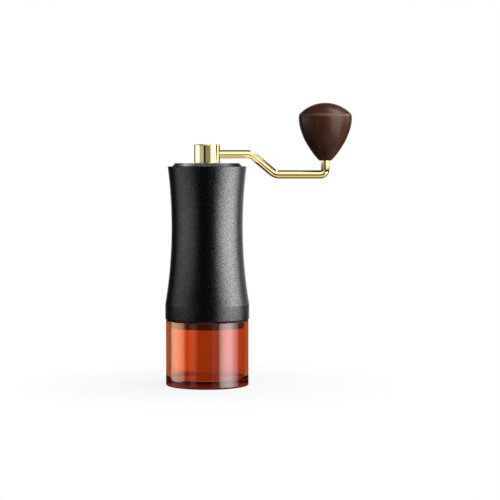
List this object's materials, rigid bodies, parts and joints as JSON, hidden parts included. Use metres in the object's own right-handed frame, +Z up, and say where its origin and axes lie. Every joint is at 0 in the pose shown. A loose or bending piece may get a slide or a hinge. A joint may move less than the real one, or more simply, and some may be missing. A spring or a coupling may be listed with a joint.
{
  "type": "hand crank coffee grinder",
  "caption": "Waisted hand coffee grinder with a clear screw-on grounds jar, lift-off lid with crank, free-turning wooden knob and adjustable conical burrs.",
  "frame": {"origin": "centre of the jar's flat underside, on the grinder's axis", "axes": "+Z up along the grinder's axis, +X towards the crank's knob at rest, +Y away from the viewer"},
  "size_m": [0.1216, 0.055, 0.184],
  "materials": {
    "amber_clear": "clear amber, polished",
    "black_rubber": "matte",
    "black_grain": "fine grainy coat, satin",
    "black_anodised": "black anodised",
    "bare_aluminium": "turned",
    "bearing_steel": "ground",
    "tool_steel": "machined",
    "spring_steel": "drawn",
    "black_satin": "satin",
    "white_nylon": "moulded",
    "polished_gold": "polished, plated",
    "dark_wood": "oiled, turned",
    "bush_brass": "turned"
  },
  "bodies": {
    "jar": {"grounds_jar": "amber_clear"},
    "seal": {"jar_seal": "black_rubber"},
    "housing": {"outer_sleeve": "black_grain", "burr_carrier": "black_anodised", "hopper_tube": "bare_aluminium", "lower_bridge": "black_anodised", "upper_bridge": "black_anodised", "lower_bearing_outer": "bearing_steel", "upper_bearing_outer": "bearing_steel", "ring_burr": "tool_steel", "burr_screws": "tool_steel"},
    "lid": {"lid": "black_satin", "lid_seal": "black_rubber", "lid_bush": "white_nylon"},
    "crank": {"crank_hub": "polished_gold", "crank_arm": "polished_gold", "hub_clip": "spring_steel", "knob_clip": "spring_steel"},
    "knob": {"knob": "dark_wood", "knob_bush": "bush_brass"},
    "shaft": {"drive_shaft": "tool_steel", "shaft_clip": "spring_steel", "lower_bearing_inner": "bearing_steel", "upper_bearing_inner": "bearing_steel", "burr_spring": "spring_steel"},
    "burr": {"cone_burr": "tool_steel", "spring_washer": "spring_steel", "click_plungers": "bearing_steel"},
    "dial": {"adjusting_dial": "bare_aluminium"}
  },
  "joints": [
    {"name": "body_lift", "type": "slide", "parent": "jar", "child": "seal", "axis": [0, 0, 1], "range_m": [0, 0.0064]},
    {"name": "body_turn", "type": "hinge", "parent": "seal", "child": "housing", "pos_m": [0, 0, 0.0431], "axis": [0, 0, 1], "range_deg": [0, 721]},
    {"name": "lid_lift", "type": "slide", "parent": "housing", "child": "lid", "axis": [0, 0, 1], "range_m": [0, 0.03]},
    {"name": "crank_spin", "type": "hinge", "parent": "lid", "child": "crank", "pos_m": [0, 0, 0.1448], "axis": [0, 0, 1], "continuous": true},
    {"name": "knob_spin", "type": "hinge", "parent": "crank", "child": "knob", "pos_m": [0.0768, 0, 0.1588], "axis": [0, 0, 1], "continuous": true},
    {"name": "shaft_spin", "type": "hinge", "parent": "housing", "child": "shaft", "pos_m": [0, 0, 0.1008], "axis": [0, 0, 1], "continuous": true},
    {"name": "burr_feed", "type": "slide", "parent": "shaft", "child": "burr", "axis": [0, 0, -1], "range_m": [-0.0005, 0.001], "deforming": ["burr_spring"]},
    {"name": "dial_turn", "type": "hinge", "parent": "burr", "child": "dial", "pos_m": [0, 0, 0.0408], "axis": [0, 0, -1], "range_deg": [-181, 361]}
  ],
  "couplings": [
    {"joint": "body_turn", "follows": "body_lift", "rad_per_m": 1963.5},
    {"joint": "shaft_spin", "follows": "crank_spin", "ratio": 1},
    {"joint": "dial_turn", "follows": "burr_feed", "rad_per_m": 6283.2}
  ]
}
